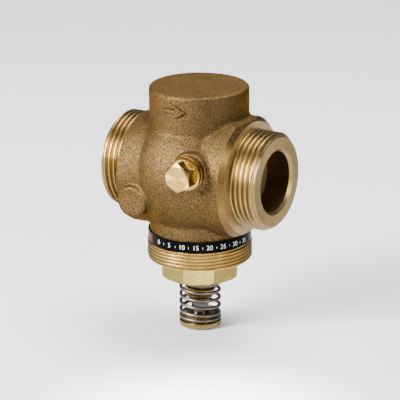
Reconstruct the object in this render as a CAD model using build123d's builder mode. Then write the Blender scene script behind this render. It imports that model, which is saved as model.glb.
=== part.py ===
"""Two-port control valve for heating and cooling water, in millimetres.

The origin is where the pipe axis (X) meets the stem axis (Z). The outlet port points along +X,
the stem leaves the body downwards along -Z, and the test plug faces -Y. The valve is drawn open,
with the stem pushed out by its spring.
"""
import os
from math import cos, pi

from build123d import *

# Ports and pipe axis
face_to_face = 75.0
port_thread_d = 41.91
port_face_chamfer = 1.95
port_thread_length = 10.3
outlet_relief = 1.5
inlet_relief = 0.7
relief_depth = 1.5
port_bore_d = 26.0
port_bore_chamfer = 1.2
bore_run = 11.5

# Cast body
globe_d = 58.4
outlet_hub_inset = 2.9
hub_top_flat = 1.7
hub_bottom_flat = 3.3
hub_flat_corner = 3.0
inlet_hub_inset = 5.1
inlet_hub_drop = 2.2
inlet_root_x = -10.0
inlet_root_inset = 3.6
seam_margin = 0.02
seam_turn = 140.0
shoulder_inset = 2.1
cap_d = 42.5
cap_height = 37.0
cap_edge_fillet = 0.9
cap_wall = 5.0
neck_d = 42.6
cast_fillet = 1.0
boss_edge_fillet = 0.4

# Bosses on the front of the body
boss_inset = 2.2
plug_boss_d = 16.0
plug_boss_x = 10.7
plug_boss_z = 7.5
blank_boss_d = 13.8
blank_boss_x = -17.75
blank_boss_z = -10.1
tapping_d = 8.0

# Inner chambers
web = 7.0
chamber_d = 29.0
passage_half_width = 12.5
passage_half_height = 8.0
passage_centre = 11.5
passage_end = 13.0

# Neck below the globe: label band, then the actuator thread
label_top = -25.7
label_width = 4.5
label_thickness = 0.7
label_step = 0.3
actuator_thread_d = 44.9
actuator_thread_length = 8.6
actuator_thread_chamfer = 1.0

# Bonnet and its stem guide
bonnet_thread_d = 30.0
bonnet_thread_length = 9.0
spigot_length = 3.8
spigot_gap = 0.1
octagon_flats = 32.0
octagon_height = 8.0
octagon_chamfer = 0.9
octagon_turn = 5.5
guide_d = 13.4
guide_length = 10.3
guide_chamfer = 1.8
guide_taper = 1.1
bonnet_recess_d = 22.0
bonnet_recess_depth = 2.5
ring_section_d = 2.4

# Stem and stroke
stroke = 5.0
stem_d = 7.7
stem_play = 0.05
stem_tip_d = 6.0
stem_tip_chamfer = 0.6
stem_foot = 0.6

# Gland in the bonnet, from the bottom up
gland_bore_d = 10.4
gland_nut_height = 2.6
gland_slot = 1.2
bush_length = 6.0
stem_ring_height = 2.2
spacer_height = 2.0

# Seat
seat_bore_d = 19.6
seat_ring_d = 24.0
seat_flange_gap = 0.8
seat_flange_height = 1.8
seat_lip_height = 0.7
seat_lip_width = 0.8
seat_lip_inset = 0.6
seat_top_rise = 0.8
seat_groove_depth = 1.0
seat_groove_width = 1.6
seat_gap = 0.2

# Moving trim on the stem
disc_d = 24.4
disc_height = 4.2
disc_seal_d = 23.2
disc_seal_height = 2.0
disc_seal_proud = 0.4
clamp_plate_d = 18.4
clamp_plate_height = 2.2
clamp_plate_taper = 0.8
clamp_overlap = 1.6
disc_nut_flats = 10.0
disc_nut_height = 4.6
thread_end = 1.0

# Return spring and its retainer
spring_d = 18.2
spring_height = 20.7
wire_d = 1.5
closed_pitch = 1.56
closed_turns = 1.0
active_turns = 4.66
spring_start = 85.0
retainer_d = 18.14
retainer_height = 2.2
retainer_chamfer = 0.3
retainer_hub_d = 12.4
retainer_hub_height = 3.3
clip_d = 9.0
clip_height = 0.8
clip_seat_depth = 1.2
clip_seat_play = 0.5
clip_groove_depth = 0.5
clip_gap = 3.4

# Test plug and its washer
plug_flats = 11.0
plug_head_height = 6.2
plug_face_d = 10.0
plug_head_chamfer = 0.9
plug_flange_d = 14.0
plug_flange_height = 2.0
plug_shank_length = 8.0
washer_d = 14.8
washer_height = 1.8

# Sizes that follow from the ones above
port_face = face_to_face / 2
port_r = port_thread_d / 2
relief_r = port_r - relief_depth
bore_r = port_bore_d / 2
bore_end = port_face - bore_run
inlet_shoulder = port_face - port_thread_length
outlet_shoulder = inlet_shoulder - outlet_relief
globe_r = globe_d / 2
outlet_hub_r = globe_r - outlet_hub_inset
hub_top = outlet_hub_r - hub_top_flat
hub_bottom = hub_bottom_flat - outlet_hub_r
shoulder_r = outlet_hub_r - shoulder_inset
inlet_hub_r = globe_r - inlet_hub_inset
inlet_root_r = globe_r - inlet_root_inset
boss_face = globe_r - boss_inset
chamber_r = chamber_d / 2
label_bottom = label_top - label_width
actuator_r = actuator_thread_d / 2
label_r = actuator_r - label_step
label_seat_r = label_r - label_thickness
neck_end = label_bottom - actuator_thread_length

bonnet_r = bonnet_thread_d / 2
thread_top = neck_end + bonnet_thread_length
bonnet_top = thread_top + spigot_length
spigot_r = chamber_r - spigot_gap
bonnet_ring_z = bonnet_top - spigot_length / 2
octagon_bottom = neck_end - octagon_height
guide_end = octagon_bottom - guide_length
stem_r = stem_d / 2
tip_r = stem_tip_d / 2
running_r = stem_r + stem_play

gland_r = gland_bore_d / 2
gland_nut_top = guide_end + gland_nut_height
lower_bush_top = gland_nut_top + bush_length
lower_ring_top = lower_bush_top + stem_ring_height
spacer_top = lower_ring_top + spacer_height
upper_ring_top = spacer_top + stem_ring_height
gland_end = upper_ring_top + bush_length

seat_r = seat_ring_d / 2
seat_flange_r = chamber_r - seat_flange_gap
seat_groove_r = seat_r - seat_groove_depth
seat_top = web / 2 + seat_top_rise
seat_flange_z = -web / 2 - seat_flange_height
seat_lip_z = seat_flange_z - seat_lip_height
seat_lip_r = seat_bore_d / 2 + seat_lip_inset
seal_top = seat_lip_z - seat_gap - stroke
seal_bottom = seal_top - disc_seal_height
seal_inner_r = clamp_plate_d / 2 - clamp_overlap
disc_top = seal_top - disc_seal_proud
disc_bottom = disc_top - disc_height
nut_base = disc_top + clamp_plate_height
stem_top = nut_base + disc_nut_height + thread_end

spring_top = octagon_bottom
spring_bottom = spring_top - spring_height
coil_r = (spring_d - wire_d) / 2
retainer_bottom = spring_bottom - retainer_height
retainer_hub_top = spring_bottom + retainer_hub_height
clip_seat_r = clip_d / 2 + clip_seat_play
clip_z = retainer_bottom + clip_seat_depth - clip_height
stem_bottom = retainer_bottom - stem_foot

plug_corner_r = plug_flats / 2 / cos(pi / 6)
plug_centre = (plug_boss_x, plug_boss_z)
blank_centre = (blank_boss_x, blank_boss_z)
washer_front = boss_face + washer_height
plug_flange_front = washer_front + plug_flange_height


def cylinder(plane, radius, length, centre=(0, 0), mode=Mode.ADD):
    """Cylinder that starts on a plane and runs along its normal."""
    with BuildSketch(plane) as disc:
        with Locations(centre):
            Circle(radius)
    extrude(disc.sketch, amount=length, mode=mode)


def ring(outer_r, inner_r, low, high, mode=Mode.ADD):
    """Plain ring about the stem axis between two heights."""
    with BuildSketch(Plane.XY.offset(low)) as section:
        Circle(outer_r)
        Circle(inner_r, mode=Mode.SUBTRACT)
    extrude(section.sketch, amount=high - low, mode=mode)


def turned(outline, plane=Plane.XZ, axis=Axis.Z, mode=Mode.ADD):
    """Solid turned about an axis from the corner points of its half section."""
    with BuildSketch(plane) as section:
        with BuildLine():
            Polyline(outline, close=True)
        make_face()
    revolve(section.sketch, axis=axis, mode=mode)


def threaded_port(side, start, relief):
    """Turned pipe port along X: relief groove, thread land and end chamfer."""
    land = start + relief
    crest_end = port_face - port_face_chamfer
    outline = [(start, 0), (start, relief_r), (land, relief_r), (land, port_r), (crest_end, port_r),
               (port_face, port_r - port_face_chamfer), (port_face, 0)]
    turned([(side * x, r) for x, r in outline], Plane.XY, Axis.X)


def cored_way(side):
    """Bore of one port, led off to the chamber on its own side of the web."""
    bevel_end = port_face - port_bore_chamfer
    mouth = [(port_face, 0), (port_face, bore_r + port_bore_chamfer), (bevel_end, bore_r), (bore_end, bore_r),
             (bore_end, 0)]
    turned([(side * x, r) for x, r in mouth], Plane.XY, Axis.X, Mode.SUBTRACT)
    with BuildSketch(Plane.YZ.offset(side * bore_end)) as round_end:
        Circle(bore_r)
    with BuildSketch(Plane.YZ.offset(side * passage_end)) as flat_end:
        with Locations((0, side * passage_centre)):
            Ellipse(passage_half_width, passage_half_height)
    loft([round_end.sketch, flat_end.sketch], mode=Mode.SUBTRACT)
    extrude(flat_end.sketch, amount=-side * passage_end, mode=Mode.SUBTRACT)


# The two bosses of the casting, with their front rims rounded before they join it
with BuildPart() as bosses:
    cylinder(Plane.XZ, plug_boss_d / 2, boss_face, plug_centre)
    cylinder(Plane.XZ, blank_boss_d / 2, boss_face, blank_centre)
    fillet(bosses.faces().group_by(Axis.Y)[0].edges(), boss_edge_fillet)

# Outlet hub of the casting, flattened above and below
with BuildPart() as outlet_hub:
    with BuildSketch(Plane.YZ):
        Circle(outlet_hub_r)
        with Locations((0, (hub_top + hub_bottom) / 2)):
            Rectangle(globe_d, hub_top - hub_bottom, mode=Mode.INTERSECT)
    extrude(amount=outlet_shoulder)
    fillet(outlet_hub.edges().filter_by(Axis.X), hub_flat_corner)

# The casting: globe, two hubs, closed cap, neck and two bosses, with the threads turned on it
with BuildPart() as body:
    Sphere(globe_r, rotation=(0, 0, seam_turn))
    cylinder(Plane.XY, cap_d / 2, cap_height)
    cylinder(Plane.XY.offset(neck_end), neck_d / 2, -neck_end)
    add(outlet_hub.part)
    with BuildSketch(Plane.YZ.offset(-inlet_shoulder)):
        with Locations((0, -inlet_hub_drop)):
            Circle(inlet_hub_r)
    with BuildSketch(Plane.YZ.offset(inlet_root_x)):
        Circle(inlet_root_r)
    loft()
    across = body.faces().sort_by(Axis.X)
    upright = body.faces().sort_by(Axis.Z)
    end_edges = across[0].edges() + across[-1].edges() + upright[0].edges() + upright[-1].edges()
    joins = (body.edges() - end_edges).filter_by(GeomType.LINE, reverse=True)
    clear_joins = joins.filter_by(lambda edge: edge.bounding_box().min.X > seam_margin - inlet_shoulder)
    fillet(clear_joins, cast_fillet)
    fillet(body.faces().sort_by(Axis.Z)[-1].edges(), cap_edge_fillet)
    add(bosses.part)
    cylinder(Plane.XZ.offset(boss_face), plug_boss_d / 2, plug_boss_d, plug_centre, Mode.SUBTRACT)
    facing_r = outlet_hub_r + cast_fillet
    turned([(outlet_shoulder, shoulder_r), (outlet_shoulder, facing_r),
            (outlet_shoulder - facing_r + shoulder_r, facing_r)], Plane.XY, Axis.X, Mode.SUBTRACT)
    threaded_port(1, outlet_shoulder, outlet_relief)
    threaded_port(-1, inlet_shoulder, inlet_relief)
    ring(globe_r, label_seat_r, label_bottom, label_top, Mode.SUBTRACT)
    turned([(0, label_bottom), (actuator_r, label_bottom), (actuator_r, neck_end + actuator_thread_chamfer),
            (actuator_r - actuator_thread_chamfer, neck_end), (0, neck_end)])
    cored_way(1)
    cored_way(-1)
    cylinder(Plane.XY.offset(web / 2), chamber_r, cap_height - cap_wall - web / 2, mode=Mode.SUBTRACT)
    cylinder(Plane.XY.offset(thread_top), chamber_r, -web / 2 - thread_top, mode=Mode.SUBTRACT)
    cylinder(Plane.XY.offset(neck_end), bonnet_r, bonnet_thread_length, mode=Mode.SUBTRACT)
    cylinder(Plane.XY.offset(-web), seat_r, 2 * web, mode=Mode.SUBTRACT)
    cylinder(Plane.XZ, tapping_d / 2, boss_face, plug_centre, Mode.SUBTRACT)

# Label band laid round the neck
with BuildPart() as label_band:
    ring(label_r, label_seat_r, label_bottom, label_top)

# Seat ring pressed into the web from below, with a sharp lip for the soft seal
with BuildPart() as seat_ring:
    ring(seat_r, seat_bore_d / 2, -web / 2, seat_top)
    ring(seat_flange_r, seat_bore_d / 2, seat_flange_z, -web / 2)
    turned([(seat_bore_d / 2, seat_flange_z), (seat_lip_r + seat_lip_width, seat_flange_z),
            (seat_lip_r, seat_lip_z), (seat_bore_d / 2, seat_lip_z)])
    ring(seat_r, seat_groove_r, -seat_groove_width / 2, seat_groove_width / 2, Mode.SUBTRACT)

# Square-section ring in the groove of the seat ring
with BuildPart() as seat_seal:
    ring(seat_r, seat_groove_r, -seat_groove_width / 2, seat_groove_width / 2)

# Bonnet: thread, seal spigot, octagon and stem guide turned from one bar
with BuildPart() as bonnet:
    cylinder(Plane.XY.offset(neck_end), bonnet_r, bonnet_thread_length)
    cylinder(Plane.XY.offset(thread_top), spigot_r, spigot_length)
    with BuildSketch(Plane.XY.offset(octagon_bottom)):
        RegularPolygon(octagon_flats / 2, 8, major_radius=False, rotation=octagon_turn)
    extrude(amount=octagon_height)
    corner_r = octagon_flats / 2 / cos(pi / 8)
    turned([(corner_r, octagon_bottom), (corner_r, octagon_bottom + octagon_chamfer),
            (corner_r - octagon_chamfer, octagon_bottom)], mode=Mode.SUBTRACT)
    turned([(0, octagon_bottom), (guide_d / 2, octagon_bottom), (guide_d / 2, guide_end + guide_chamfer),
            (guide_d / 2 - guide_taper, guide_end), (0, guide_end)])
    cylinder(Plane.XY.offset(bonnet_top), bonnet_recess_d / 2, -bonnet_recess_depth, mode=Mode.SUBTRACT)
    cylinder(Plane.XY.offset(guide_end), gland_r, gland_end - guide_end, mode=Mode.SUBTRACT)
    cylinder(Plane.XY.offset(guide_end), running_r, bonnet_top - guide_end, mode=Mode.SUBTRACT)
    ring(chamber_r, chamber_r - ring_section_d, bonnet_ring_z - ring_section_d / 2,
         bonnet_ring_z + ring_section_d / 2, Mode.SUBTRACT)

# Round-section ring that seals the bonnet in the body
with BuildPart() as bonnet_o_ring:
    with BuildSketch(Plane.XZ):
        with Locations((chamber_r - ring_section_d / 2, bonnet_ring_z)):
            Circle(ring_section_d / 2)
    revolve(axis=Axis.Z)

# Gland: slotted nut, bush, two stem rings with a spacer between them, and a second bush
with BuildPart() as gland_nut:
    ring(gland_r, running_r, guide_end, gland_nut_top)
    with BuildSketch(Plane.XY.offset(guide_end)):
        Rectangle(gland_bore_d, gland_slot)
    extrude(amount=gland_nut_height / 2, mode=Mode.SUBTRACT)

with BuildPart() as lower_bush:
    ring(gland_r, running_r, gland_nut_top, lower_bush_top)

with BuildPart() as lower_stem_ring:
    ring(gland_r, running_r, lower_bush_top, lower_ring_top)

with BuildPart() as gland_spacer:
    ring(gland_r, running_r, lower_ring_top, spacer_top)

with BuildPart() as upper_stem_ring:
    ring(gland_r, running_r, spacer_top, upper_ring_top)

with BuildPart() as upper_bush:
    ring(gland_r, running_r, upper_ring_top, gland_end)

# Stem with its spigots for the disc and for the spring retainer
with BuildPart() as stem:
    turned([(0, stem_top), (tip_r - stem_tip_chamfer, stem_top), (tip_r, stem_top - stem_tip_chamfer),
            (tip_r, disc_bottom), (stem_r, disc_bottom), (stem_r, retainer_hub_top),
            (tip_r, retainer_hub_top), (tip_r, clip_z + clip_height),
            (tip_r - clip_groove_depth, clip_z + clip_height), (tip_r - clip_groove_depth, clip_z),
            (tip_r, clip_z), (tip_r, stem_bottom + stem_tip_chamfer),
            (tip_r - stem_tip_chamfer, stem_bottom), (0, stem_bottom)])

# Disc with its soft seal, held by a plate and a nut on the stem
with BuildPart() as valve_disc:
    ring(disc_d / 2, tip_r, disc_bottom, disc_top)
    ring(disc_seal_d / 2, seal_inner_r, seal_bottom, disc_top, Mode.SUBTRACT)

with BuildPart() as disc_seal:
    ring(disc_seal_d / 2, seal_inner_r, seal_bottom, seal_top)

with BuildPart() as clamp_plate:
    turned([(tip_r, disc_top), (seal_inner_r, disc_top), (seal_inner_r, seal_top),
            (clamp_plate_d / 2, seal_top), (clamp_plate_d / 2 - clamp_plate_taper, nut_base),
            (tip_r, nut_base)])

with BuildPart() as disc_nut:
    with BuildSketch(Plane.XY.offset(nut_base)):
        RegularPolygon(disc_nut_flats / 2, 6, major_radius=False)
        Circle(tip_r, mode=Mode.SUBTRACT)
    extrude(amount=disc_nut_height)

# Return spring: left-hand coil with a closed turn at each end
with BuildPart() as return_spring:
    coil_height = spring_height - wire_d
    active_pitch = (coil_height - 2 * closed_turns * closed_pitch) / active_turns
    height = spring_bottom + wire_d / 2
    turn = spring_start
    closed_end = (closed_pitch, closed_turns)
    with BuildLine() as coil:
        for pitch, turns in (closed_end, (active_pitch, active_turns), closed_end):
            stage = Edge.make_helix(pitch, pitch * turns, coil_r, (0, 0, height), lefthand=True)
            add(stage.rotate(Axis.Z, turn))
            height += pitch * turns
            turn -= 360 * turns
    path = coil.wires()[0]
    start = coil.edges().sort_by(Axis.Z)[0]
    with BuildSketch(Plane(start @ 0, z_dir=start % 0)):
        Circle(wire_d / 2)
    sweep(path=path)

# Retainer: plate and hub turned from one bar, with a recess for the clip
with BuildPart() as spring_retainer:
    cylinder(Plane.XY.offset(retainer_bottom), retainer_d / 2, retainer_height)
    chamfer(spring_retainer.edges().filter_by(GeomType.CIRCLE), retainer_chamfer)
    cylinder(Plane.XY.offset(spring_bottom), retainer_hub_d / 2, retainer_hub_height)
    cylinder(Plane.XY.offset(retainer_bottom), tip_r, retainer_hub_top - retainer_bottom, mode=Mode.SUBTRACT)
    cylinder(Plane.XY.offset(retainer_bottom), clip_seat_r, clip_seat_depth, mode=Mode.SUBTRACT)

# Open clip in the stem's groove, inside the retainer's recess
with BuildPart() as stem_clip:
    ring(clip_d / 2, tip_r - clip_groove_depth, clip_z, clip_z + clip_height)
    with BuildSketch(Plane.XY.offset(clip_z)):
        with Locations((clip_d / 2, 0)):
            Rectangle(clip_d, clip_gap)
    extrude(amount=clip_height, mode=Mode.SUBTRACT)

# Test plug: hexagon, flange and shank turned from one bar
with BuildPart() as test_plug:
    cylinder(Plane.XZ.offset(plug_flange_front), plug_corner_r, plug_head_height, plug_centre)
    chamfer(test_plug.faces().sort_by(Axis.Y)[0].edges(), plug_head_chamfer, plug_corner_r - plug_face_d / 2)
    with BuildSketch(Plane.XZ.offset(plug_flange_front)):
        with Locations(plug_centre):
            RegularPolygon(plug_flats / 2, 6, major_radius=False, rotation=30)
    extrude(amount=plug_head_height, mode=Mode.INTERSECT)
    cylinder(Plane.XZ.offset(washer_front), plug_flange_d / 2, plug_flange_height, plug_centre)
    cylinder(Plane.XZ.offset(washer_front - plug_shank_length), tapping_d / 2, plug_shank_length, plug_centre)

# Flat washer under the plug's flange
with BuildPart() as plug_washer:
    cylinder(Plane.XZ.offset(boss_face), washer_d / 2, washer_height, plug_centre)
    cylinder(Plane.XZ.offset(boss_face), tapping_d / 2, washer_height, plug_centre, Mode.SUBTRACT)

pieces = {
    "body": body, "label_band": label_band, "seat_ring": seat_ring, "seat_seal": seat_seal,
    "bonnet": bonnet, "bonnet_o_ring": bonnet_o_ring, "gland_nut": gland_nut,
    "lower_bush": lower_bush, "lower_stem_ring": lower_stem_ring, "gland_spacer": gland_spacer,
    "upper_stem_ring": upper_stem_ring, "upper_bush": upper_bush, "stem": stem,
    "valve_disc": valve_disc, "disc_seal": disc_seal, "clamp_plate": clamp_plate,
    "disc_nut": disc_nut, "return_spring": return_spring, "spring_retainer": spring_retainer,
    "stem_clip": stem_clip, "test_plug": test_plug, "plug_washer": plug_washer,
}
os.makedirs("parts", exist_ok=True)
for name, piece in pieces.items():
    piece.part.label = name
    export_step(piece.part, f"parts/{name}.step")
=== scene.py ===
# %% [markdown]
# # A two-port control valve
# A sand-cast bronze body with two threaded pipe ports, a threaded neck for the actuator, and a brass
# bonnet below it that carries a sprung stem. The measured solids come in as a fixed frame. This notebook
# dresses them: the rough casting, the cut threads, the wound spring, the band and the metals.

# %% Load the measured valve
from math import cos, hypot, pi, radians, sin

import bmesh
import bpy
from mathutils import Matrix, Vector, noise


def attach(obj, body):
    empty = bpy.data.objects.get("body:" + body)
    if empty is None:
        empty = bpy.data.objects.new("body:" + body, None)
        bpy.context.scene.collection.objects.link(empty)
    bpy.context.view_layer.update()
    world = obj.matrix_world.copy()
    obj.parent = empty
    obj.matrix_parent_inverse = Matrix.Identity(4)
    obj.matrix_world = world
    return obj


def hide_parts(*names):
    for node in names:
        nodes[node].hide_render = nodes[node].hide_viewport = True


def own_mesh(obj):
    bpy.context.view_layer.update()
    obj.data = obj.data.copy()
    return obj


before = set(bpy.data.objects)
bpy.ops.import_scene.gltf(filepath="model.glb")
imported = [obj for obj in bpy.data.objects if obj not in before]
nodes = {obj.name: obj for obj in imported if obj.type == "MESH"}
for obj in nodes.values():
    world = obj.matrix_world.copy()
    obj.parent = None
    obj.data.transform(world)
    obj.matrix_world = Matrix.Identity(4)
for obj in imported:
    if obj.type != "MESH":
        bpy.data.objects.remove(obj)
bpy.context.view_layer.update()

MM = 0.001

# %% [markdown]
# ## Finishes
# Every finish is a Principled shader fed by noise on Object coordinates. Pictures of metal could be wrapped
# round the pieces instead, but they stretch over the globe and repeat. Noise keeps its grain in millimetres
# on every piece, whatever its shape.

# %% Start a finish
def new_finish(name, metallic, roughness, colour):
    """A material with its shader and a Texture Coordinate node ready to use."""
    finish = bpy.data.materials.new(name)
    finish.use_nodes = True
    tree = finish.node_tree
    shader = tree.nodes["Principled BSDF"]
    shader.inputs["Metallic"].default_value = metallic
    shader.inputs["Roughness"].default_value = roughness
    shader.inputs["Base Color"].default_value = (*colour, 1)
    place = tree.nodes.new("ShaderNodeTexCoord").outputs["Object"]
    return finish, tree, shader, place


print("materials before the first finish:", len(bpy.data.materials))

# %% Grain in millimetres
def grain(tree, place, size_mm, detail=3):
    """Noise whose lumps are about size_mm across."""
    lumps = tree.nodes.new("ShaderNodeTexNoise")
    lumps.inputs["Scale"].default_value = 1 / (size_mm * MM)
    lumps.inputs["Detail"].default_value = detail
    tree.links.new(place, lumps.inputs["Vector"])
    return lumps.outputs["Fac"]


def spread(tree, factor, low, high, from_low=0.35, from_high=0.65):
    """Stretches a factor to a range of values. Noise mostly lies between 0.35 and 0.65."""
    stretch = tree.nodes.new("ShaderNodeMapRange")
    stretch.inputs["From Min"].default_value = from_low
    stretch.inputs["From Max"].default_value = from_high
    stretch.inputs["To Min"].default_value = low
    stretch.inputs["To Max"].default_value = high
    tree.links.new(factor, stretch.inputs["Value"])
    return stretch.outputs["Result"]


print("lumps 1 mm across need a noise scale of", round(1 / MM))

# %% Mix colours and raise relief
def blend_colours(tree, factor, first, second):
    """Mixes two colours, each a triple or another colour's output."""
    mix = tree.nodes.new("ShaderNodeMix")
    mix.data_type = "RGBA"
    for socket, colour in ((mix.inputs["A"], first), (mix.inputs["B"], second)):
        if isinstance(colour, tuple):
            socket.default_value = (*colour, 1)
        else:
            tree.links.new(colour, socket)
    tree.links.new(factor, mix.inputs["Factor"])
    return mix.outputs["Result"]


def add_bump(tree, shader, height, depth_mm, strength):
    """Raises a factor as fine relief on the shader's normal."""
    bump = tree.nodes.new("ShaderNodeBump")
    bump.inputs["Strength"].default_value = strength
    bump.inputs["Distance"].default_value = depth_mm * MM
    tree.links.new(height, bump.inputs["Height"])
    tree.links.new(bump.outputs["Normal"], shader.inputs["Normal"])


print("a mix shows its first colour at 0 and its second at 1")

# %% [markdown]
# ## The cast skin
# Sand leaves a bronze casting matt and grainy, with pale and dark specks and patches that aged differently.
# One flat colour would look like plastic. Fine noise mixes dark and pale grains, large noise moves between
# two such mixes, and noise of the grain's own size gives the relief that catches the lamps.

# %% The cast bronze skin
SAND = ((0.0215, 0.0118, 0.0042), (0.124, 0.074, 0.0275))
AGED = ((0.0185, 0.0106, 0.0040), (0.100, 0.062, 0.0245))
EDGE_TINT = (0.62, 0.48, 0.32, 1)
SPECK, CLOUD = 0.42, 7
SKIN_RELIEF = 0.20


def cast_skin():
    """Sandy bronze: pale and dark grains over cloudy patches, with real relief."""
    finish, tree, shader, place = new_finish("cast_skin", 1.0, 0.6, (0.07, 0.042, 0.016))
    shader.inputs["Specular Tint"].default_value = EDGE_TINT
    specks = spread(tree, grain(tree, place, SPECK), 0, 1, 0.34, 0.66)
    cloudy = spread(tree, grain(tree, place, CLOUD), 0, 1)
    sand = blend_colours(tree, specks, *SAND)
    aged = blend_colours(tree, specks, *AGED)
    tree.links.new(blend_colours(tree, cloudy, sand, aged), shader.inputs["Base Color"])
    tree.links.new(spread(tree, grain(tree, place, 0.8), 0.50, 0.70), shader.inputs["Roughness"])
    add_bump(tree, shader, grain(tree, place, 0.6, 4), SKIN_RELIEF, 1.0)
    return finish


finishes = {"cast": cast_skin()}
print("made", finishes["cast"].name, "with", len(finishes["cast"].node_tree.nodes), "nodes")

# %% [markdown]
# ## The turned and drawn metals
# A lathe leaves fine marks: lines round a cylinder and rings on a face. They could be cut into the mesh, but
# they are far smaller than a pixel, so a wave texture gives them as faint relief. On the test plug the rings
# also stretch the highlight into a fan, so that finish is anisotropic round the plug's own axis.

# %% Rings on a face
WAVES = pi / 10  # a wave texture of this scale repeats once a unit


def tool_rings(tree, place, ring_mm, axis, centre=(0, 0, 0)):
    """Fine rings round an axis through centre, as a facing cut leaves them."""
    shift = tree.nodes.new("ShaderNodeMapping")
    shift.inputs["Location"].default_value = [-value * MM for value in centre]
    tree.links.new(place, shift.inputs["Vector"])
    rings = tree.nodes.new("ShaderNodeTexWave")
    rings.wave_type = "RINGS"
    rings.rings_direction = axis
    rings.inputs["Scale"].default_value = WAVES / (ring_mm * MM)
    rings.inputs["Distortion"].default_value = 0.4
    tree.links.new(shift.outputs["Vector"], rings.inputs["Vector"])
    return rings.outputs["Fac"]


print("rings 1 mm apart need a wave scale of", round(WAVES / MM))

# %% Lines along a cylinder
def tool_lines(tree, place, ring_mm, axis):
    """Fine lines square to an axis, as turning along it leaves them."""
    lines = tree.nodes.new("ShaderNodeTexWave")
    lines.bands_direction = axis
    lines.inputs["Scale"].default_value = WAVES / (ring_mm * MM)
    lines.inputs["Distortion"].default_value = 0.8
    tree.links.new(place, lines.inputs["Vector"])
    return lines.outputs["Fac"]


print("lines 0.35 mm apart need a wave scale of", round(WAVES / (0.35 * MM)))

# %% Smooth metal with tool marks
MARK_DEPTH = 0.004
FAN = 0.85


def turned_metal(name, colour, dark, roughness, ring_mm, axis, facing=None, waves=0):
    """Slightly clouded metal. A centre in facing gives rings round it, and waves a gently uneven surface."""
    finish, tree, shader, place = new_finish(name, 1.0, roughness, colour)
    cloudy = spread(tree, grain(tree, place, 5), 0, 1)
    tree.links.new(blend_colours(tree, cloudy, colour, dark), shader.inputs["Base Color"])
    if facing:
        add_bump(tree, shader, tool_rings(tree, place, ring_mm, axis, facing), MARK_DEPTH, 0.3)
        round_axis = tree.nodes.new("ShaderNodeTangent")
        round_axis.direction_type = "RADIAL"
        round_axis.axis = axis
        tree.links.new(round_axis.outputs["Tangent"], shader.inputs["Tangent"])
        shader.inputs["Anisotropic"].default_value = FAN
    elif waves:
        add_bump(tree, shader, grain(tree, place, 5, 1), waves, 1.0)
    else:
        add_bump(tree, shader, tool_lines(tree, place, ring_mm, axis), MARK_DEPTH, 0.2)
    worn = spread(tree, grain(tree, place, 1.5), roughness - 0.04, roughness + 0.05)
    tree.links.new(worn, shader.inputs["Roughness"])
    return finish


print("tool marks are", MARK_DEPTH, "mm deep")

# %% The metals of the valve
PLUG_AXIS = (10.7, 0, 7.5)
finishes.update({
    "port": turned_metal("machined_port", (0.225, 0.155, 0.060), (0.190, 0.130, 0.048), 0.32, 0.35, "X"),
    "face": turned_metal("faced_port", (0.195, 0.128, 0.038), (0.168, 0.109, 0.032), 0.38, 0.35, "X", (0, 0, 0)),
    # The shoulder is faced like the port's face; its lighter colour is painted light.
    "shoulder": turned_metal("faced_shoulder_painted_light", (0.36, 0.245, 0.10), (0.31, 0.21, 0.085), 0.52, 0.35, "X"),
    # The cone is the same machined bronze as the port; its darker colour is painted shade.
    "cone": turned_metal("faced_cone_painted_shade", (0.120, 0.068, 0.020), (0.102, 0.057, 0.017), 0.30, 0.35, "X"),
    # The neck is the same machined bronze as the ports; its lighter colour is painted light.
    "neck": turned_metal("machined_neck_painted_light", (0.37, 0.255, 0.086), (0.31, 0.212, 0.070), 0.31, 0.35, "Z"),
    # The dark colour of the walls inside the bores and the chamber is painted shade, darker than the bored and cast
    # bronze there.
    "bore_shade": turned_metal("bore_painted_shade", (0.060, 0.034, 0.015), (0.036, 0.021, 0.010), 0.5, 0.8, "X"),
    "brass": turned_metal("bar_brass", (0.235, 0.172, 0.046), (0.190, 0.137, 0.035), 0.24, 0.3, "Z", waves=0.05),
    "plug": turned_metal("plug_brass", (0.40, 0.275, 0.070), (0.35, 0.238, 0.058), 0.28, 0.9, "Y", PLUG_AXIS),
    "dull": turned_metal("retainer_brass", (0.27, 0.195, 0.070), (0.225, 0.16, 0.058), 0.28, 0.3, "Z"),
    "copper": turned_metal("copper_washer", (0.175, 0.072, 0.020), (0.135, 0.054, 0.015), 0.34, 0.4, "Y"),
    "steel": turned_metal("ground_stainless", (0.100, 0.098, 0.102), (0.08, 0.078, 0.082), 0.20, 0.2, "Z"),
    "wire": turned_metal("spring_wire", (0.125, 0.104, 0.083), (0.088, 0.074, 0.059), 0.42, 0.5, "Z"),
})
print("metals:", ", ".join(finishes))

# %% [markdown]
# ## Rubber, plastic and print
# The seals and bushes are moulded, and the band is a strip with printed marks. All are plain colours with
# a fine matt grain. The band and its field have their shine turned nearly off, because a reflection of the
# pale room would turn the black grey.

# %% Rubber, plastic and print
def moulded(name, colour, roughness, grain_mm, shine=0.5):
    """Rubber or plastic with a fine matt grain."""
    finish, tree, shader, place = new_finish(name, 0.0, roughness, colour)
    shader.inputs["Specular IOR Level"].default_value = shine
    dusty = tuple(min(1, channel * 1.25 + 0.0002) for channel in colour)
    tree.links.new(blend_colours(tree, grain(tree, place, 5), colour, dusty), shader.inputs["Base Color"])
    add_bump(tree, shader, grain(tree, place, grain_mm), 0.02, 0.3)
    return finish


finishes.update({
    "rubber": moulded("seal_rubber", (0.02, 0.02, 0.02), 0.6, 0.4),
    "bush": moulded("bush_plastic", (0.75, 0.73, 0.68), 0.45, 0.4),
    "band": moulded("label_plastic", (0.0004, 0.0004, 0.0005), 0.25, 1.2, 0.02),
    "ink": moulded("white_ink", (0.36, 0.36, 0.36), 0.5, 1.2),
    "field": moulded("muted_field", (0.045, 0.009, 0.016), 0.4, 1.2, 0.02),
})
print("all finishes:", ", ".join(sorted(finishes)))

# %% [markdown]
# ## A finish on every measured solid
# Each solid of the frame gets the finish of its real material, also the seals, bushes and disc that sit
# inside, so that the valve can be opened or cut away and still look right.

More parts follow.
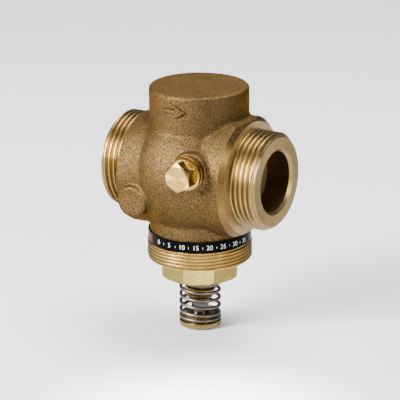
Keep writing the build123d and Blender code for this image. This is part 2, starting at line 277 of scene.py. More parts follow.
# %% Give the solids their finishes
node_finish = {
    "body": "cast", "label_band": "band", "seat_ring": "brass", "seat_seal": "rubber", "bonnet": "brass",
    "bonnet_o_ring": "rubber", "gland_nut": "brass", "lower_bush": "bush", "lower_stem_ring": "rubber",
    "gland_spacer": "brass", "upper_stem_ring": "rubber", "upper_bush": "bush", "stem": "steel",
    "valve_disc": "brass", "disc_seal": "rubber", "clamp_plate": "brass", "disc_nut": "steel",
    "return_spring": "wire", "spring_retainer": "dull", "stem_clip": "steel", "test_plug": "plug",
    "plug_washer": "copper",
}
for node, finish in node_finish.items():
    slots = nodes[node].material_slots
    for slot in slots:
        slot.material = finishes[finish]
    if not slots:
        nodes[node].data.materials.append(finishes[finish])
print("finished", len(node_finish), "solids")

# %% [markdown]
# ## From bmesh to a finished piece
# Each new piece is built in a bmesh, cleaned, given its finish, and set to ride on its body. Flat shading
# would show every step of the lathe and smooth shading would round its edges, so faces are smooth and edges
# past an angle stay sharp. Milled flats have many corners and stay flat.

# %% Finish a mesh as a piece
KEEP_SHARP = radians(32)
WELD = 0.0005 * MM


def make_piece(name, bm, finish, body, stands_for=(), keep_sharp=KEEP_SHARP):
    """Writes a bmesh to an object at the origin that rides on a body."""
    bmesh.ops.remove_doubles(bm, verts=bm.verts, dist=WELD)
    bmesh.ops.recalc_face_normals(bm, faces=bm.faces)
    mesh = bpy.data.meshes.new(name)
    bm.to_mesh(mesh)
    bm.free()
    for part_finish in finish if isinstance(finish, tuple) else (finish,):
        mesh.materials.append(finishes[part_finish])
    mesh.polygons.foreach_set("use_smooth", [face.loop_total < 5 for face in mesh.polygons])
    mesh.set_sharp_from_angle(angle=keep_sharp)
    piece = bpy.data.objects.new(name, mesh)
    bpy.context.scene.collection.objects.link(piece)
    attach(piece, body)
    if stands_for:
        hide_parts(*stands_for)
    print(name, len(mesh.polygons), "faces")
    return piece


print("vertices closer than", WELD / MM, "mm are joined")

# %% A lathe
LATHE_STEPS = 160


def turn_on_lathe(bm, outline, steps=LATHE_STEPS, closed=True):
    """Spins a half section of (radius, height) corners in millimetres about Z."""
    corners = [bm.verts.new((radius * MM, 0, height * MM)) for radius, height in outline]
    pairs = list(zip(corners, corners[1:]))
    if closed:
        pairs.append((corners[-1], corners[0]))
    edges = [bm.edges.new(pair) for pair in pairs]
    bmesh.ops.spin(bm, geom=corners + edges, cent=(0, 0, 0), axis=(0, 0, 1), angle=2 * pi, steps=steps,
                   use_merge=True)
    bmesh.ops.remove_doubles(bm, verts=bm.verts, dist=WELD)


print("one step of the lathe is", 360 / LATHE_STEPS, "degrees")

# %% Join meshes and copy a solid
def joined(bm, other):
    """Adds a second bmesh to the first."""
    mesh = bpy.data.meshes.new("joined_part")
    other.to_mesh(mesh)
    other.free()
    bm.from_mesh(mesh)
    bpy.data.meshes.remove(mesh)


def merged_copy(node):
    """A bmesh of a solid's node with its loose triangles joined."""
    bm = bmesh.new()
    bm.from_mesh(nodes[node].data)
    bmesh.ops.remove_doubles(bm, verts=bm.verts, dist=WELD)
    return bm


print("the body's solid has", len(nodes["body"].data.polygons), "triangles")

# %% [markdown]
# ## The casting
# A sand casting has no sharp inner corners: where the globe meets the hubs and the cap, metal fills the
# corner, and the mould leaves the skin slightly uneven. The solid could be bevelled edge by edge, but the
# joints run over curved surfaces, so it is remeshed into small even cells, smoothed a few times and moved
# in and out a few hundredths of a millimetre by noise.

# %% Cut along a plane
PLANE_TOUCH = 0.0001 * MM


def cut_away(bm, point, normal):
    """Removes what lies beyond a plane and returns the edges of the open rim."""
    whole = bm.verts[:] + bm.edges[:] + bm.faces[:]
    cut = bmesh.ops.bisect_plane(bm, geom=whole, dist=PLANE_TOUCH, plane_co=point, plane_no=normal, clear_outer=True)
    return [part for part in cut["geom_cut"] if isinstance(part, bmesh.types.BMEdge)]


print("a cut takes what lies within", round(PLANE_TOUCH / MM, 6), "mm as on the plane")

# %% Let modifiers work on a bmesh
def scratch_object(name, bm):
    """A temporary object that modifiers can work on, with a slot for the rough and one for the cut faces."""
    mesh = bpy.data.meshes.new(name)
    bm.to_mesh(mesh)
    bm.free()
    for _ in range(2):
        mesh.materials.append(None)
    rough = bpy.data.objects.new(name, mesh)
    bpy.context.scene.collection.objects.link(rough)
    return rough


def evaluated_bmesh(rough):
    """The object's mesh with its modifiers applied. The object is removed."""
    evaluated = rough.evaluated_get(bpy.context.evaluated_depsgraph_get())
    even = bmesh.new()
    even.from_mesh(evaluated.to_mesh())
    evaluated.to_mesh_clear()
    bpy.data.objects.remove(rough)
    return even


CELL = 0.52


def remeshed(bm, cell_mm):
    """The same shape in small even cells."""
    rough = scratch_object("rough_shape", bm)
    cells = rough.modifiers.new("cells", "REMESH")
    cells.mode = "VOXEL"
    cells.voxel_size = cell_mm * MM
    return evaluated_bmesh(rough)


print("the casting's cells are", CELL, "mm wide")

# %% [markdown]
# ### The rough hub
# Before the lathe faced it, the outlet hub was a rough round with two flats, and a little too long. It is
# made again at that size and joined to the solid, so that the cut that follows has metal to take away.
# The prism is solid right through, so it also closes the outlet bore between its two ends. A prism with a
# hole of the bore's size would keep the waterway open.

# %% The rough hub as it was before the lathe faced it
HUB_R = 26.3
HUB_TOP = 24.6
HUB_BOTTOM = -23.0
HUB_CORNER = 1.8
HUB_FROM, HUB_TO = 20.0, 27.5


def rough_hub(low, high):
    """The flattened hub as a prism along X, in its own bmesh."""
    bm = bmesh.new()
    bmesh.ops.create_circle(bm, segments=96, radius=HUB_R * MM)
    bmesh.ops.contextual_create(bm, geom=bm.edges[:])
    for level, outward in ((HUB_TOP, 1), (HUB_BOTTOM, -1)):
        cut_away(bm, (0, level * MM, 0), (0, outward, 0))
    corners = [vert for vert in bm.verts
               if min(abs(vert.co.y / MM - HUB_TOP), abs(vert.co.y / MM - HUB_BOTTOM)) < 0.01]
    bmesh.ops.bevel(bm, geom=corners, offset=HUB_CORNER * MM, offset_type="OFFSET", affect="VERTICES",
                    segments=5, profile=0.5, material=-1)
    grown = bmesh.ops.extrude_face_region(bm, geom=bm.faces[:])["geom"]
    bmesh.ops.translate(bm, verts=[part for part in grown if isinstance(part, bmesh.types.BMVert)],
                        vec=(0, 0, (high - low) * MM))
    bmesh.ops.recalc_face_normals(bm, faces=bm.faces)
    to_pipe = Matrix(((0, 0, 1, low * MM), (1, 0, 0, 0), (0, 1, 0, 0), (0, 0, 0, 1)))
    bmesh.ops.transform(bm, matrix=to_pipe, verts=bm.verts)
    return bm


shell = merged_copy("body")
joined(shell, rough_hub(HUB_FROM, HUB_TO))
print("rough shape has", len(shell.faces), "faces")

# %% Soften the solid
SOFT_PASSES = 4
shell = remeshed(shell, CELL)
for _ in range(SOFT_PASSES):
    bmesh.ops.smooth_vert(shell, verts=shell.verts, factor=0.5, use_axis_x=True, use_axis_y=True, use_axis_z=True)
shell.normal_update()
print("softened casting has", len(shell.faces), "faces")

# %% Make the skin slightly uneven
LUMPS = ((3.2, 0.05), (1.3, 0.03))
for vert in shell.verts:
    lump = sum(noise.noise(vert.co / (width * MM)) * depth for width, depth in LUMPS)
    vert.co += vert.normal * lump * MM
print("the skin moves by up to", sum(depth for _, depth in LUMPS), "mm")

# %% [markdown]
# ### Facing the outlet hub
# The lathe then faces the outlet hub: it leaves a bright cone with a flat shoulder behind the thread. A
# turned cutter is taken away from the casting, and its faces bring their own finish, so the line where
# the rough skin ends follows the flattened hub as it does on the real valve.

# %% Turn the facing cutter
SHOULDER = 25.7
SHOULDER_R = 24.2
CONE_RISE = 3.1
CUTTER_END = 45
cutter = bmesh.new()
turn_on_lathe(cutter, [(0, SHOULDER), (SHOULDER_R, SHOULDER), (SHOULDER_R + CONE_RISE, SHOULDER - CONE_RISE),
                       (SHOULDER_R + CONE_RISE, CUTTER_END), (0, CUTTER_END)], closed=False)
bmesh.ops.transform(cutter, matrix=Matrix.Rotation(pi / 2, 4, "Y"), verts=cutter.verts)
bmesh.ops.recalc_face_normals(cutter, faces=cutter.faces)
for face in cutter.faces:
    face.material_index = 1
print("facing cutter has", len(cutter.faces), "faces")

# %% Take the cutter away from the casting
tool = scratch_object("facing_tool", cutter)
rough = scratch_object("rough_casting", shell)
facing = rough.modifiers.new("facing", "BOOLEAN")
facing.operation = "DIFFERENCE"
facing.solver = "EXACT"
facing.object = tool
shell = evaluated_bmesh(rough)
bpy.data.objects.remove(tool)
print("the cutter left", sum(face.material_index == 1 for face in shell.faces), "bright faces")

# %% [markdown]
# ### Facing the inlet hub and the neck
# The inlet thread and the neck are pieces of their own, so the casting stops where they start. A plane cuts
# it there, and the ring between the rim and the bore is filled again, which leaves the bore open.

# %% Face the inlet hub and the neck
BAND_TOP = -25.7
INLET_SHOULDER = 27.2
FACING_DEPTH = 0.3
inlet_plane = ((-(INLET_SHOULDER - FACING_DEPTH) * MM, 0, 0), (-1, 0, 0))
neck_plane = ((0, 0, BAND_TOP * MM), (0, 0, -1))
for point, normal in (inlet_plane, neck_plane):
    rim = cut_away(shell, point, normal)
    filled = bmesh.ops.triangle_fill(shell, edges=rim, use_beauty=True)["geom"]
    for face in filled:
        if isinstance(face, bmesh.types.BMFace):
            face.material_index = 1
print("casting has", len(shell.faces), "faces and", sum(edge.is_boundary for edge in shell.edges), "open edges")

# %% Paint shade on the walls inside and finish the casting
BORE_LIMIT = 13.6
CHAMBER_LIMIT = 15.3
CHAMBER_TOP = 33
OUTLET_SIDE = 20
TOOL_REACH = 0.15
BORE_SHADE, CONE, FLAT_SHOULDER = 2, 3, 4
for face in shell.faces:
    x, y, z = (value / MM for value in face.calc_center_median())
    in_bore = hypot(y, z) < BORE_LIMIT
    in_chamber = hypot(x, y) < CHAMBER_LIMIT and z < CHAMBER_TOP
    above_cone = abs(hypot(y, z) - SHOULDER_R - SHOULDER + x)
    # Faces inside the bores and the chamber get the dark colour of painted shade.
    if in_bore or in_chamber:
        face.material_index = BORE_SHADE
    # Cutter faces on the cone get painted shade, and those on the shoulder painted light.
    elif face.material_index == 1 and x > OUTLET_SIDE:
        face.material_index = CONE if x < SHOULDER - 0.05 else FLAT_SHOULDER
    elif above_cone < TOOL_REACH and SHOULDER - CONE_RISE < x < SHOULDER:
        face.material_index = CONE
casting = make_piece("casting", shell, ("cast", "port", "bore_shade", "cone", "shoulder"), "valve", ("body",))
for face in casting.data.polygons:
    if face.material_index >= CONE:
        face.use_smooth = False

# %% [markdown]
# ## Cut threads
# The pipe thread has eleven turns to the inch and the neck a finer metric one. A thread is one ridge wound
# round its core, so a closed ridge section is spun while it moves along the axis. Where the lathe chamfered
# the end, the ridge is brought in to the chamfer, which is how the first turn of a real thread fades.

# %% Wind a ridge round a core
RIDGE_SINK = 0.25


def wound_ridge(bm, crest, root, pitch, first, turns, limit, ends, steps=120):
    """One thread ridge about Z from height first, held under limit(height) and between two ends."""
    half, depth = pitch / 2, crest - root
    flank = [(root - RIDGE_SINK, 0.97), (root, 0.87), (root + 0.07 * depth, 0.745), (root + 0.25 * depth, 0.57),
             (crest - 0.22 * depth, 0.31), (crest - 0.05 * depth, 0.17), (crest, 0.05)]
    section = [(radius, -share * half) for radius, share in flank]
    section += [(radius, share * half) for radius, share in reversed(flank)]
    corners = [bm.verts.new((radius * MM, 0, (first + height) * MM)) for radius, height in section]
    start = bm.faces.new(corners)
    wind = bmesh.ops.spin(bm, geom=corners + start.edges[:], cent=(0, 0, 0), axis=(0, 0, 1), angle=2 * pi * turns,
                          dvec=(0, 0, pitch * MM / steps), steps=round(steps * turns), use_merge=False)
    bmesh.ops.contextual_create(bm, geom=[part for part in wind["geom_last"] if isinstance(part, bmesh.types.BMEdge)])
    low, high = ends
    for vert in bm.verts:
        reach = hypot(vert.co.x, vert.co.y)
        allowed = limit(vert.co.z / MM) * MM
        if not low * MM < vert.co.z < high * MM:
            vert.co.z = min(max(vert.co.z, low * MM), high * MM)
            allowed = min(allowed, (root - RIDGE_SINK) * MM)
        if reach > allowed:
            vert.co.x *= allowed / reach
            vert.co.y *= allowed / reach


print("a ridge starts", RIDGE_SINK, "mm inside its core")

# %% The size of a pipe port
CREST = 20.955
ROOT = 19.476
PITCH = 2.309
PORT_FACE = 37.5
FACE_CHAMFER = 1.95
LAND_END = PORT_FACE - FACE_CHAMFER
BORE = 13.0
MOUTH = 14.2
MOUTH_CHAMFER = 1.2
FADE_SLOPE = 3.0


def port_limit(start):
    """How far out the ridge may reach at each distance along the port."""
    def limit(height):
        fade_out = CREST - max(0, height - LAND_END)
        fade_in = ROOT - 0.1 + FADE_SLOPE * max(0, height - start)
        return min(fade_out, fade_in, CREST)
    return limit


print("pipe thread:", 2 * CREST, "mm across,", round(25.4 / PITCH, 2), "turns to the inch")

# %% [markdown]
# ### The two pipe ports
# Each port is a turned core with a plain land behind the thread, a chamfered face and a bored mouth, and
# the ridge is wound on it. Core and ridge are separate pieces, because the ridge needs smoother shading
# than the core's edges allow.

# %% Cut the two pipe ports
ALONG = {1: Matrix.Rotation(pi / 2, 4, "Y"), -1: Matrix.Rotation(-pi / 2, 4, "Y")}
PORT_OVERLAP = 0.6
LAND_DROP = 0.25
LAND_WIDTH = 0.9
RUNOUT = 0.9
RIDGE_STOP = 0.6
THREAD_SHARP = radians(75)


def cut_port(name, side, shoulder, first):
    """Turns one port, lays it along the pipe axis and winds its thread from a distance on."""
    tip = CREST - FACE_CHAMFER
    back = shoulder - PORT_OVERLAP
    land = CREST - LAND_DROP
    land_end = shoulder + LAND_WIDTH
    core = bmesh.new()
    turn_on_lathe(core, [(BORE, back), (land, back), (land, land_end), (ROOT, land_end + RUNOUT),
                         (ROOT, PORT_FACE - (ROOT - tip)), (tip, PORT_FACE), (MOUTH, PORT_FACE),
                         (BORE, PORT_FACE - MOUTH_CHAMFER)])
    for face in core.faces:
        middle = face.calc_center_median()
        # The bore's faces get the dark colour of painted shade.
        if hypot(middle.x, middle.y) < (BORE + 0.05) * MM:
            face.material_index = 1
        elif middle.z > (PORT_FACE - 0.01) * MM:
            face.material_index = 2
    bmesh.ops.transform(core, matrix=ALONG[side], verts=core.verts)
    make_piece(name + "_port", core, ("port", "bore_shade", "face"), "valve", ("body",))
    ridge = bmesh.new()
    turns = (PORT_FACE - first) / PITCH + 0.2
    wound_ridge(ridge, CREST, ROOT, PITCH, first, turns, port_limit(shoulder), (back + 0.05, PORT_FACE - RIDGE_STOP))
    bmesh.ops.transform(ridge, matrix=ALONG[side], verts=ridge.verts)
    make_piece(name + "_thread", ridge, "port", "valve", ("body",), keep_sharp=THREAD_SHARP)


cut_port("outlet", 1, SHOULDER, 25.189)
cut_port("inlet", -1, INLET_SHOULDER, 26.0)

# %% [markdown]
# ### The neck and its actuator thread
# Below the globe the neck is turned down to a seat for the band and then threaded for the actuator's nut.
# It is made like a port, with a finer ridge that fades in under the band and out at the end chamfer.

# %% Turn the neck
NECK_CREST = 22.45
NECK_ROOT = 21.53
NECK_PITCH = 1.5
NECK_END = -38.8
NECK_CHAMFER = 1.0
NECK_BORE = 14.6
BAND_BOTTOM = -30.2
BAND_SEAT = 21.45
neck = bmesh.new()
tip = NECK_CREST - NECK_CHAMFER
turn_on_lathe(neck, [(NECK_BORE, NECK_END), (tip, NECK_END), (NECK_ROOT, NECK_END + NECK_ROOT - tip),
                     (NECK_ROOT, BAND_BOTTOM), (BAND_SEAT, BAND_BOTTOM), (BAND_SEAT, BAND_TOP), (NECK_BORE, BAND_TOP)])
# The neck and its thread share the neck's finish, whose lighter colour is painted light.
make_piece("actuator_neck", neck, "neck", "valve", ("body",))

# %% Wind the actuator thread
NECK_FADE = 2.5


def neck_limit(height):
    """The ridge fades at the end chamfer and under the band."""
    end = NECK_CREST - max(0, NECK_END + NECK_CHAMFER - height)
    top = NECK_ROOT - 0.2 + NECK_FADE * max(0, BAND_BOTTOM - height)
    return min(end, top, NECK_CREST)


ridge = bmesh.new()
neck_turns = (BAND_BOTTOM - NECK_END) / NECK_PITCH + 0.4
wound_ridge(ridge, NECK_CREST, NECK_ROOT, NECK_PITCH, NECK_END - 0.3, neck_turns, neck_limit,
            (NECK_END + 0.3, BAND_BOTTOM + RIDGE_STOP), steps=160)
make_piece("actuator_thread", ridge, "neck", "valve", ("body",), keep_sharp=THREAD_SHARP)

# %% [markdown]
# ## Turned brass pieces
# The bonnet, retainer, stem, plug and washer come off a lathe from bar. The fixed solids are right but
# coarse, so each is turned again from its half section with many more steps. The octagon and the hexagon
# are milled: the round blank is cut by flat planes, which leaves the curved chamfer that such a head has.

# %% Mill flats on a turned blank
EDGE_BREAK = 0.18


def mill_flats(bm, count, flat_distance, first_turn):
    """Cuts count flats at a distance from the axis and breaks the corner edges between them."""
    for step in range(count):
        angle = radians(first_turn + 360 * step / count)
        outward = Vector((cos(angle), sin(angle), 0))
        rim = cut_away(bm, outward * flat_distance * MM, outward)
        bmesh.ops.contextual_create(bm, geom=rim)
    corners = [edge for edge in bm.edges if len(edge.link_faces) == 2 and edge.is_manifold
               and min(len(face.verts) for face in edge.link_faces) > 4
               and hypot(*(edge.verts[0].co - edge.verts[1].co)[:2]) < 0.001 * MM]
    bmesh.ops.bevel(bm, geom=corners, offset=EDGE_BREAK * MM, offset_type="OFFSET", affect="EDGES", segments=2,
                    profile=0.5, material=-1)
    print("milled", count, "flats with", len(corners), "corners")


# %% The bonnet with its octagon and stem guide
OCTAGON_FLAT = 16
OCTAGON_TURN = 28
bonnet = bmesh.new()
turn_on_lathe(bonnet, [(3.9, -28.5), (11, -28.5), (11, -26), (14.4, -26), (14.4, -26.7), (12.1, -26.7), (12.1, -29.1),
                       (14.4, -29.1), (14.4, -29.8), (15, -29.8), (15, -38.8), (17.6, -38.8), (17.6, -45.618),
                       (16.418, -46.8), (6.7, -46.8), (6.7, -55.3), (5.6, -57.1), (5.2, -57.1), (5.2, -36.1),
                       (3.9, -36.1)])
mill_flats(bonnet, 8, OCTAGON_FLAT, OCTAGON_TURN)
make_piece("turned_bonnet", bonnet, "brass", "valve", ("bonnet",))

# %% [markdown]
# ### Retainer and stem
# The retainer is a dished brass disc that carries the spring, and the ground stem passes through it. Both
# are plain turned pieces and ride on the moving body, so they follow the stem's slide.

# %% Turn the retainer
retainer = bmesh.new()
turn_on_lathe(retainer, [(3, -64.2), (6, -64.2), (6.2, -64.4), (6.2, -67.5), (8.77, -67.5), (9.07, -67.8),
                         (9.07, -69.4), (8.77, -69.7), (5, -69.7), (5, -68.5), (3, -68.5)])
make_piece("turned_retainer", retainer, "dull", "stem_set", ("spring_retainer",))

# %% Turn the stem
stem = bmesh.new()
turn_on_lathe(stem, [(0, -3.8), (2.4, -3.8), (3, -4.4), (3, -15.8), (3.85, -15.8), (3.85, -64.2), (3, -64.2),
                     (3, -68.5), (2.5, -68.5), (2.5, -69.3), (3, -69.3), (3, -69.7), (2.4, -70.3), (0, -70.3)],
              closed=False)
make_piece("ground_stem", stem, "steel", "stem_set", ("stem",))

# %% [markdown]
# ### Test plug and washer
# The plug is a hexagon head on a round flange, and a soft washer seals it on its boss. The head and the
# flange are turned about Z, where a section is easy to read, and then laid towards the front together.

# %% Mill the test plug
TO_FRONT = Matrix.Translation((PLUG_AXIS[0] * MM, 0, PLUG_AXIS[2] * MM)) @ Matrix.Rotation(pi / 2, 4, "X")
HEXAGON_FLAT = 5.5
plug = bmesh.new()
turn_on_lathe(plug, [(0, 30.6), (6.6, 30.6), (6.6, 35.934), (5, 37), (0, 37)], closed=False)
mill_flats(plug, 6, HEXAGON_FLAT, 0)
flange = bmesh.new()
turn_on_lathe(flange, [(0, 20.8), (3.6, 20.8), (4, 21.2), (4, 28.8), (6.85, 28.8), (7, 28.95), (7, 30.3),
                       (6.5, 30.8), (0, 30.8)], closed=False)
joined(plug, flange)
bmesh.ops.transform(plug, matrix=TO_FRONT, verts=plug.verts)
make_piece("milled_plug", plug, "plug", "valve", ("test_plug",))

# %% Turn the soft washer
washer = bmesh.new()
turn_on_lathe(washer, [(4, 27), (7.15, 27), (7.4, 27.25), (7.4, 28.55), (7.15, 28.8), (4, 28.8)])
bmesh.ops.transform(washer, matrix=TO_FRONT, verts=washer.verts)
make_piece("soft_washer", washer, "copper", "valve", ("plug_washer",))

# %% [markdown]
# ## The label band
# A thin glossy band lies round the neck under the globe. It is turned like the rest, with its corners just
# broken so that they catch a line of light. More steps than usual keep its smooth outline round.

# %% Turn the band
BAND_OUTER = 22.15
BAND_EDGE = 0.08
band = bmesh.new()
turn_on_lathe(band, [(BAND_SEAT, BAND_BOTTOM), (BAND_OUTER - BAND_EDGE, BAND_BOTTOM),
                     (BAND_OUTER, BAND_BOTTOM + BAND_EDGE), (BAND_OUTER, BAND_TOP - BAND_EDGE),
                     (BAND_OUTER - BAND_EDGE, BAND_TOP), (BAND_SEAT, BAND_TOP)], steps=200)
make_piece("turned_band", band, "band", "valve", ("label_band",))

# %% [markdown]
# ### The marks on the band
# The marks are a plain scale of numbers and ticks with a coloured field at the left. They could be painted
# by the band's material, but small print stays sharper as a thin mesh. Text starts as a flat curve, is made
# a mesh and is then bent round the band, so it lies on the curve as print does.

# %% Bend flat marks round the band
FRONT = radians(-59.5)
MARK_MIDDLE = BAND_TOP - 2.45
INK_DEPTH = 0.05


def bend_round(bm, radius, turn, middle):
    """Wraps a flat shape about Z: x runs along the arc, y goes up, z comes out."""
    for vert in bm.verts:
        along, high, out = vert.co / MM
        angle = turn + along / radius
        vert.co = Vector((cos(angle) * (radius + out), sin(angle) * (radius + out), middle + high)) * MM


print("marks stand", INK_DEPTH, "mm proud of the band")

# %% Make a number
NUMBER_SIZE = 2.9
STROKE_THINNING = -0.03


def flat_number(text, size_mm, depth_mm):
    """A number as a closed flat mesh, centred, in metres."""
    curve = bpy.data.curves.new("number", "FONT")
    curve.body = text
    curve.size = size_mm * MM
    curve.extrude = depth_mm * MM
    curve.offset = STROKE_THINNING * MM
    curve.resolution_u = 4
    curve.align_x = "CENTER"
    curve.align_y = "CENTER"
    holder = bpy.data.objects.new("number", curve)
    bpy.context.scene.collection.objects.link(holder)
    mesh = bpy.data.meshes.new_from_object(holder.evaluated_get(bpy.context.evaluated_depsgraph_get()))
    bm = bmesh.new()
    bm.from_mesh(mesh)
    bpy.data.objects.remove(holder)
    bpy.data.meshes.remove(mesh)
    bmesh.ops.remove_doubles(bm, verts=bm.verts, dist=WELD)
    return bm


print("numbers are set at", NUMBER_SIZE, "mm")

# %% The scale of numbers and ticks
NUMBERS = 8
NUMBER_STEP = 5
STEP_DEGREES = 15.6
ZERO_TURN = -51.5
TICK_SHARE = 0.5025
TICK_SIZE = (0.16, 0.9, INK_DEPTH * 2)
marks = bmesh.new()
for step in range(NUMBERS):
    number = flat_number(str(step * NUMBER_STEP), NUMBER_SIZE, INK_DEPTH)
    bend_round(number, BAND_OUTER, FRONT + radians(ZERO_TURN + STEP_DEGREES * step), MARK_MIDDLE)
    joined(marks, number)
    if step < NUMBERS - 1:
        bar = bmesh.new()
        bmesh.ops.create_cube(bar, size=MM)
        bmesh.ops.scale(bar, verts=bar.verts, vec=TICK_SIZE)
        bend_round(bar, BAND_OUTER, FRONT + radians(ZERO_TURN + STEP_DEGREES * (step + TICK_SHARE)), MARK_MIDDLE)
        joined(marks, bar)
make_piece("band_scale", marks, "ink", "valve")

# %% The coloured field at the left end
FIELD_SIZE = (7.0, 1.85, 1)
FIELD_TURN = -83.5
FIELD_MIDDLE = BAND_TOP - 2.25
field = bmesh.new()
bmesh.ops.create_grid(field, x_segments=24, y_segments=1, size=MM)
bmesh.ops.scale(field, verts=field.verts, vec=FIELD_SIZE)
bmesh.ops.solidify(field, geom=field.faces[:], thickness=INK_DEPTH * MM)
bend_round(field, BAND_OUTER, FRONT + radians(FIELD_TURN), FIELD_MIDDLE)
make_piece("band_field", field, "field", "valve")

# %% [markdown]
# ## A raised mark on the cap
# Castings carry raised marks from the pattern. This one is a plain arrow that points with the flow. It is
# a flat outline with seven corners, extruded, rounded and bent round the cap.

# %% Raise the arrow
ARROW = [(-5.2, -0.85), (1.0, -0.85), (1.0, -2.8), (5.4, 0), (1.0, 2.8), (1.0, 0.85), (-5.2, 0.85)]
ARROW_FOOT, ARROW_HEIGHT = -0.5, 1.5
ARROW_ROUNDING = 0.3
arrow = bmesh.new()
outline = arrow.faces.new([arrow.verts.new((x * MM, y * MM, ARROW_FOOT * MM)) for x, y in ARROW])
raised = bmesh.ops.extrude_face_region(arrow, geom=[outline])["geom"]
top = [part for part in raised if isinstance(part, bmesh.types.BMVert)]
bmesh.ops.translate(arrow, verts=top, vec=(0, 0, ARROW_HEIGHT * MM))
bmesh.ops.recalc_face_normals(arrow, faces=arrow.faces)
rim = [edge for edge in arrow.edges if all(vert in top for vert in edge.verts)]
bmesh.ops.bevel(arrow, geom=rim, offset=ARROW_ROUNDING * MM, offset_type="OFFSET", affect="EDGES", segments=3,
                profile=0.5, material=-1)
print("arrow outline has", len(ARROW), "corners")

# %% Bend the arrow round the cap
CAP_R = 21.25
CAP_MIDDLE = 30.6
LONG_EDGE = 1.2
bmesh.ops.triangulate(arrow, faces=arrow.faces)
bmesh.ops.subdivide_edges(arrow, edges=[edge for edge in arrow.edges if edge.calc_length() > LONG_EDGE * MM], cuts=3,
                          use_grid_fill=True)
bend_round(arrow, CAP_R, radians(-90), CAP_MIDDLE)
make_piece("cap_arrow", arrow, "cast", "valve")

# %% [markdown]
# ## The spring
# The return spring is drawn wire wound left-handed, with one closed turn at each end. A curve with a round
# bevel would do, but a mesh keeps exact ends. A round section is spun in three stages, each starting from
# the ring of points where the last one stopped.

# %% Lay the wire's first section
WIRE = 1.5
COIL = 8.35
SPRING_TOP = -46.8
SPRING_BOTTOM = -67.5
START_ANGLE = radians(85)
spring = bmesh.new()
circle = bmesh.ops.create_circle(spring, segments=16, radius=WIRE / 2 * MM, cap_ends=True)["verts"]
upright = Matrix.Rotation(pi / 2, 4, "X")
to_start = (Matrix.Rotation(START_ANGLE, 4, "Z") @ Matrix.Translation((COIL * MM, 0, (SPRING_BOTTOM + WIRE / 2) * MM))
            @ upright)
bmesh.ops.transform(spring, matrix=to_start, verts=circle)
print("wire section with", len(circle), "corners")

# %% Wind the spring
CLOSED = 1.56
ACTIVE_TURNS = 4.66
RING_STEPS = 60
active = (SPRING_TOP - SPRING_BOTTOM - WIRE - 2 * CLOSED) / ACTIVE_TURNS
ring = spring.verts[:] + spring.edges[:]
for pitch, turns in ((CLOSED, 1), (active, ACTIVE_TURNS), (CLOSED, 1)):
    steps = round(RING_STEPS * turns)
    wound = bmesh.ops.spin(spring, geom=ring, cent=(0, 0, 0), axis=(0, 0, 1), angle=-2 * pi * turns,
                           dvec=(0, 0, pitch * turns * MM / steps), steps=steps, use_merge=False)
    ring = [part for part in wound["geom_last"] if not isinstance(part, bmesh.types.BMFace)]
bmesh.ops.contextual_create(spring, geom=[part for part in ring if isinstance(part, bmesh.types.BMEdge)])
coil = make_piece("wound_spring", spring, "wire", "valve", ("return_spring",))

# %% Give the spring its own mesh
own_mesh(coil)

# %% [markdown]
# ## Camera
# The photograph was taken from the front right and a little above, with a long lens. A camera that stands
# far off keeps parallel edges nearly parallel. Its angles, distance and lens come from lining up the ports,
# the cap and the neck with the photograph.

# %% Place the camera
AZIMUTH = radians(30.49)
ELEVATION = radians(18.17)
ROLL = radians(-0.29)
DISTANCE = 1.1
LENS = 232.0
AIM = Vector((0.16, 0, -13.9)) * MM

camera_data = bpy.data.cameras.new("camera")
camera_data.lens = LENS
camera_data.sensor_width = 36
camera_data.clip_end = 20
camera = bpy.data.objects.new("camera", camera_data)
bpy.context.scene.collection.objects.link(camera)
back = Vector((sin(AZIMUTH) * cos(ELEVATION), -cos(AZIMUTH) * cos(ELEVATION), sin(ELEVATION)))
right = Vector((cos(AZIMUTH), sin(AZIMUTH), 0))
up = back.cross(right)
turn = Matrix((right, up, back)).transposed().to_4x4()
camera.matrix_world = Matrix.Translation(AIM + back * DISTANCE) @ turn @ Matrix.Rotation(ROLL, 4, "Z")
bpy.context.scene.camera = camera
print("camera at", [round(value, 3) for value in camera.location])

# %% [markdown]
# ## The floor
# The valve stands on a pale sheet that runs out of sight. A soft pool of light on the floor in front is
# what the turned metals mirror from below. It could be one more lamp, but a lamp would also light the valve
# from above, so the floor's own emission makes it.

# %% Lay the floor
FLOOR_LEVEL = -70.3
floor_mesh = bpy.data.meshes.new("floor")
sheet = bmesh.new()
bmesh.ops.create_grid(sheet, x_segments=1, y_segments=1, size=3)
bmesh.ops.translate(sheet, verts=sheet.verts, vec=(0, 0, FLOOR_LEVEL * MM))
sheet.to_mesh(floor_mesh)
sheet.free()
floor_finish, floor_tree, floor_shader, floor_place = new_finish("pale_floor", 0.0, 0.9, (0.46, 0.46, 0.46))
floor_shader.inputs["Emission Color"].default_value = (1, 1, 1, 1)
print("floor at", FLOOR_LEVEL, "mm")

# %% Light a pool in front of the valve
POOL_CENTRE = (58, -98)
POOL_RADIUS = 90
POOL_STRENGTH = 12.0
FLOOR_GLOW = 0.15


def light_pool(tree, place, centre_mm, radius_mm, strength):
    """A soft round pool of light on the floor, brightest in its middle."""
    move = tree.nodes.new("ShaderNodeMapping")
    move.inputs["Location"].default_value = (-centre_mm[0] / radius_mm, -centre_mm[1] / radius_mm, 0)
    move.inputs["Scale"].default_value = (1000 / radius_mm, 1000 / radius_mm, 0)
    tree.links.new(place, move.inputs["Vector"])
    ball = tree.nodes.new("ShaderNodeTexGradient")
    ball.gradient_type = "QUADRATIC_SPHERE"
    tree.links.new(move.outputs["Vector"], ball.inputs["Vector"])
    return spread(tree, ball.outputs["Fac"], 0, strength, 0, 1)


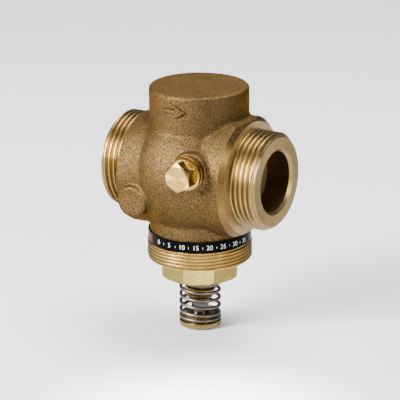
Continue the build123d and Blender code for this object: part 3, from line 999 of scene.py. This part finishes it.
front_pool = light_pool(floor_tree, floor_place, POOL_CENTRE, POOL_RADIUS, POOL_STRENGTH)
total = floor_tree.nodes.new("ShaderNodeMath")
total.operation = "ADD"
total.inputs[1].default_value = FLOOR_GLOW
floor_tree.links.new(front_pool, total.inputs[0])
floor_tree.links.new(total.outputs["Value"], floor_shader.inputs["Emission Strength"])
floor_mesh.materials.append(floor_finish)
floor = bpy.data.objects.new("floor", floor_mesh)
bpy.context.scene.collection.objects.link(floor)
print("pool of light", 2 * POOL_RADIUS, "mm across")

# %% [markdown]
# ## Lamps and room
# Metal shows what it mirrors, so the lamps are large soft rectangles. The key lamp stands to the left of
# the camera and gives the threads their bright upright band, a narrow one on the right draws the edge of
# the ports, and one overhead lights the cap. The room fills the shadows with a cool grey.

# %% Set the lamps
def softbox(name, direction, distance, width, height, watts):
    """A rectangular lamp that faces the valve from a direction."""
    lamp = bpy.data.lights.new(name, "AREA")
    lamp.shape = "RECTANGLE"
    lamp.size = width
    lamp.size_y = height
    lamp.energy = watts
    holder = bpy.data.objects.new(name, lamp)
    bpy.context.scene.collection.objects.link(holder)
    away = Vector(direction).normalized()
    holder.location = away * distance
    holder.rotation_euler = away.to_track_quat("Z", "Y").to_euler()
    print(name, watts, "W")


softbox("key_lamp", (-0.468, -0.756, 0.458), 0.9, 0.32, 0.50, 52)
softbox("right_lamp", (0.95, -0.25, 0.25), 0.9, 0.18, 0.6, 6)
softbox("top_lamp", (0.1, 0.25, 1), 1.0, 0.7, 0.5, 37)

# %% Fill the room with light
ROOM_COLOUR = (0.9, 0.92, 1, 1)
ROOM_STRENGTH = 0.27
world = bpy.data.worlds.new("room")
bpy.context.scene.world = world
world.use_nodes = True
world.node_tree.nodes["Background"].inputs["Color"].default_value = ROOM_COLOUR
world.node_tree.nodes["Background"].inputs["Strength"].default_value = ROOM_STRENGTH
print("room light", ROOM_STRENGTH)

# %% [markdown]
# ## The end of the scene

# %% Finish
print("scene built")
